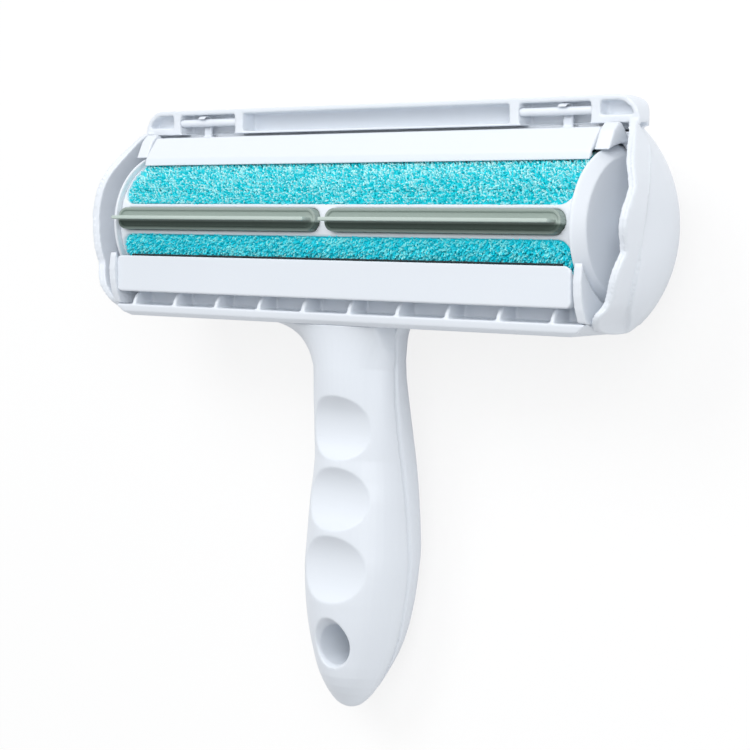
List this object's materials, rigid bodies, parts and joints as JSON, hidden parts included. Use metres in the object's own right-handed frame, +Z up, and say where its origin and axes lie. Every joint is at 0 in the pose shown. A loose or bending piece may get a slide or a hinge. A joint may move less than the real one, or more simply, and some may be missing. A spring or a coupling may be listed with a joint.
{
  "type": "pet hair removal brush",
  "caption": "Hand-held pet hair remover: wide head with a rocking fabric roller, rubber blade, hinged rear dust lid and a grooved handle with a hanging hole.",
  "frame": {"origin": "bottom centre of the bounding box of the brush lying on its back on a flat surface", "axes": "+X along the head to the right seen from above with the handle towards the viewer, +Y from the handle to the head, +Z up out of the roller face"},
  "size_m": [0.1924, 0.1662, 0.0511],
  "materials": {
    "white_plastic": "satin",
    "pile_fabric": "matte",
    "grey_rubber": "matte",
    "dark_bristle": "matte"
  },
  "bodies": {
    "head": {"head_frame": "white_plastic", "top_beam": "white_plastic", "end_plate_left": "white_plastic", "end_plate_right": "white_plastic", "handle_front_shell": "white_plastic", "handle_rear_shell": "white_plastic", "upper_lip": "white_plastic", "lower_lip": "white_plastic", "bristle_strip_upper": "dark_bristle", "bristle_strip_lower": "dark_bristle"},
    "roller": {"drum_core": "white_plastic", "drum_disc_left": "white_plastic", "drum_disc_right": "white_plastic", "fabric_upper": "pile_fabric", "fabric_lower": "pile_fabric", "rubber_blade_left": "grey_rubber", "rubber_blade_right": "grey_rubber"},
    "lid": {"rear_lid": "white_plastic", "hinge_pin_left": "white_plastic", "hinge_pin_right": "white_plastic"}
  },
  "joints": [
    {"name": "roller_rock", "type": "hinge", "parent": "head", "child": "roller", "pos_m": [0, 0.04953, 0.02674], "axis": [-1, 0, 0], "range_deg": [-12, 32]},
    {"name": "lid_hinge", "type": "hinge", "parent": "head", "child": "lid", "pos_m": [0, 0.07875, 0.03152], "axis": [1, 0, 0], "range_deg": [0, 95]}
  ]
}
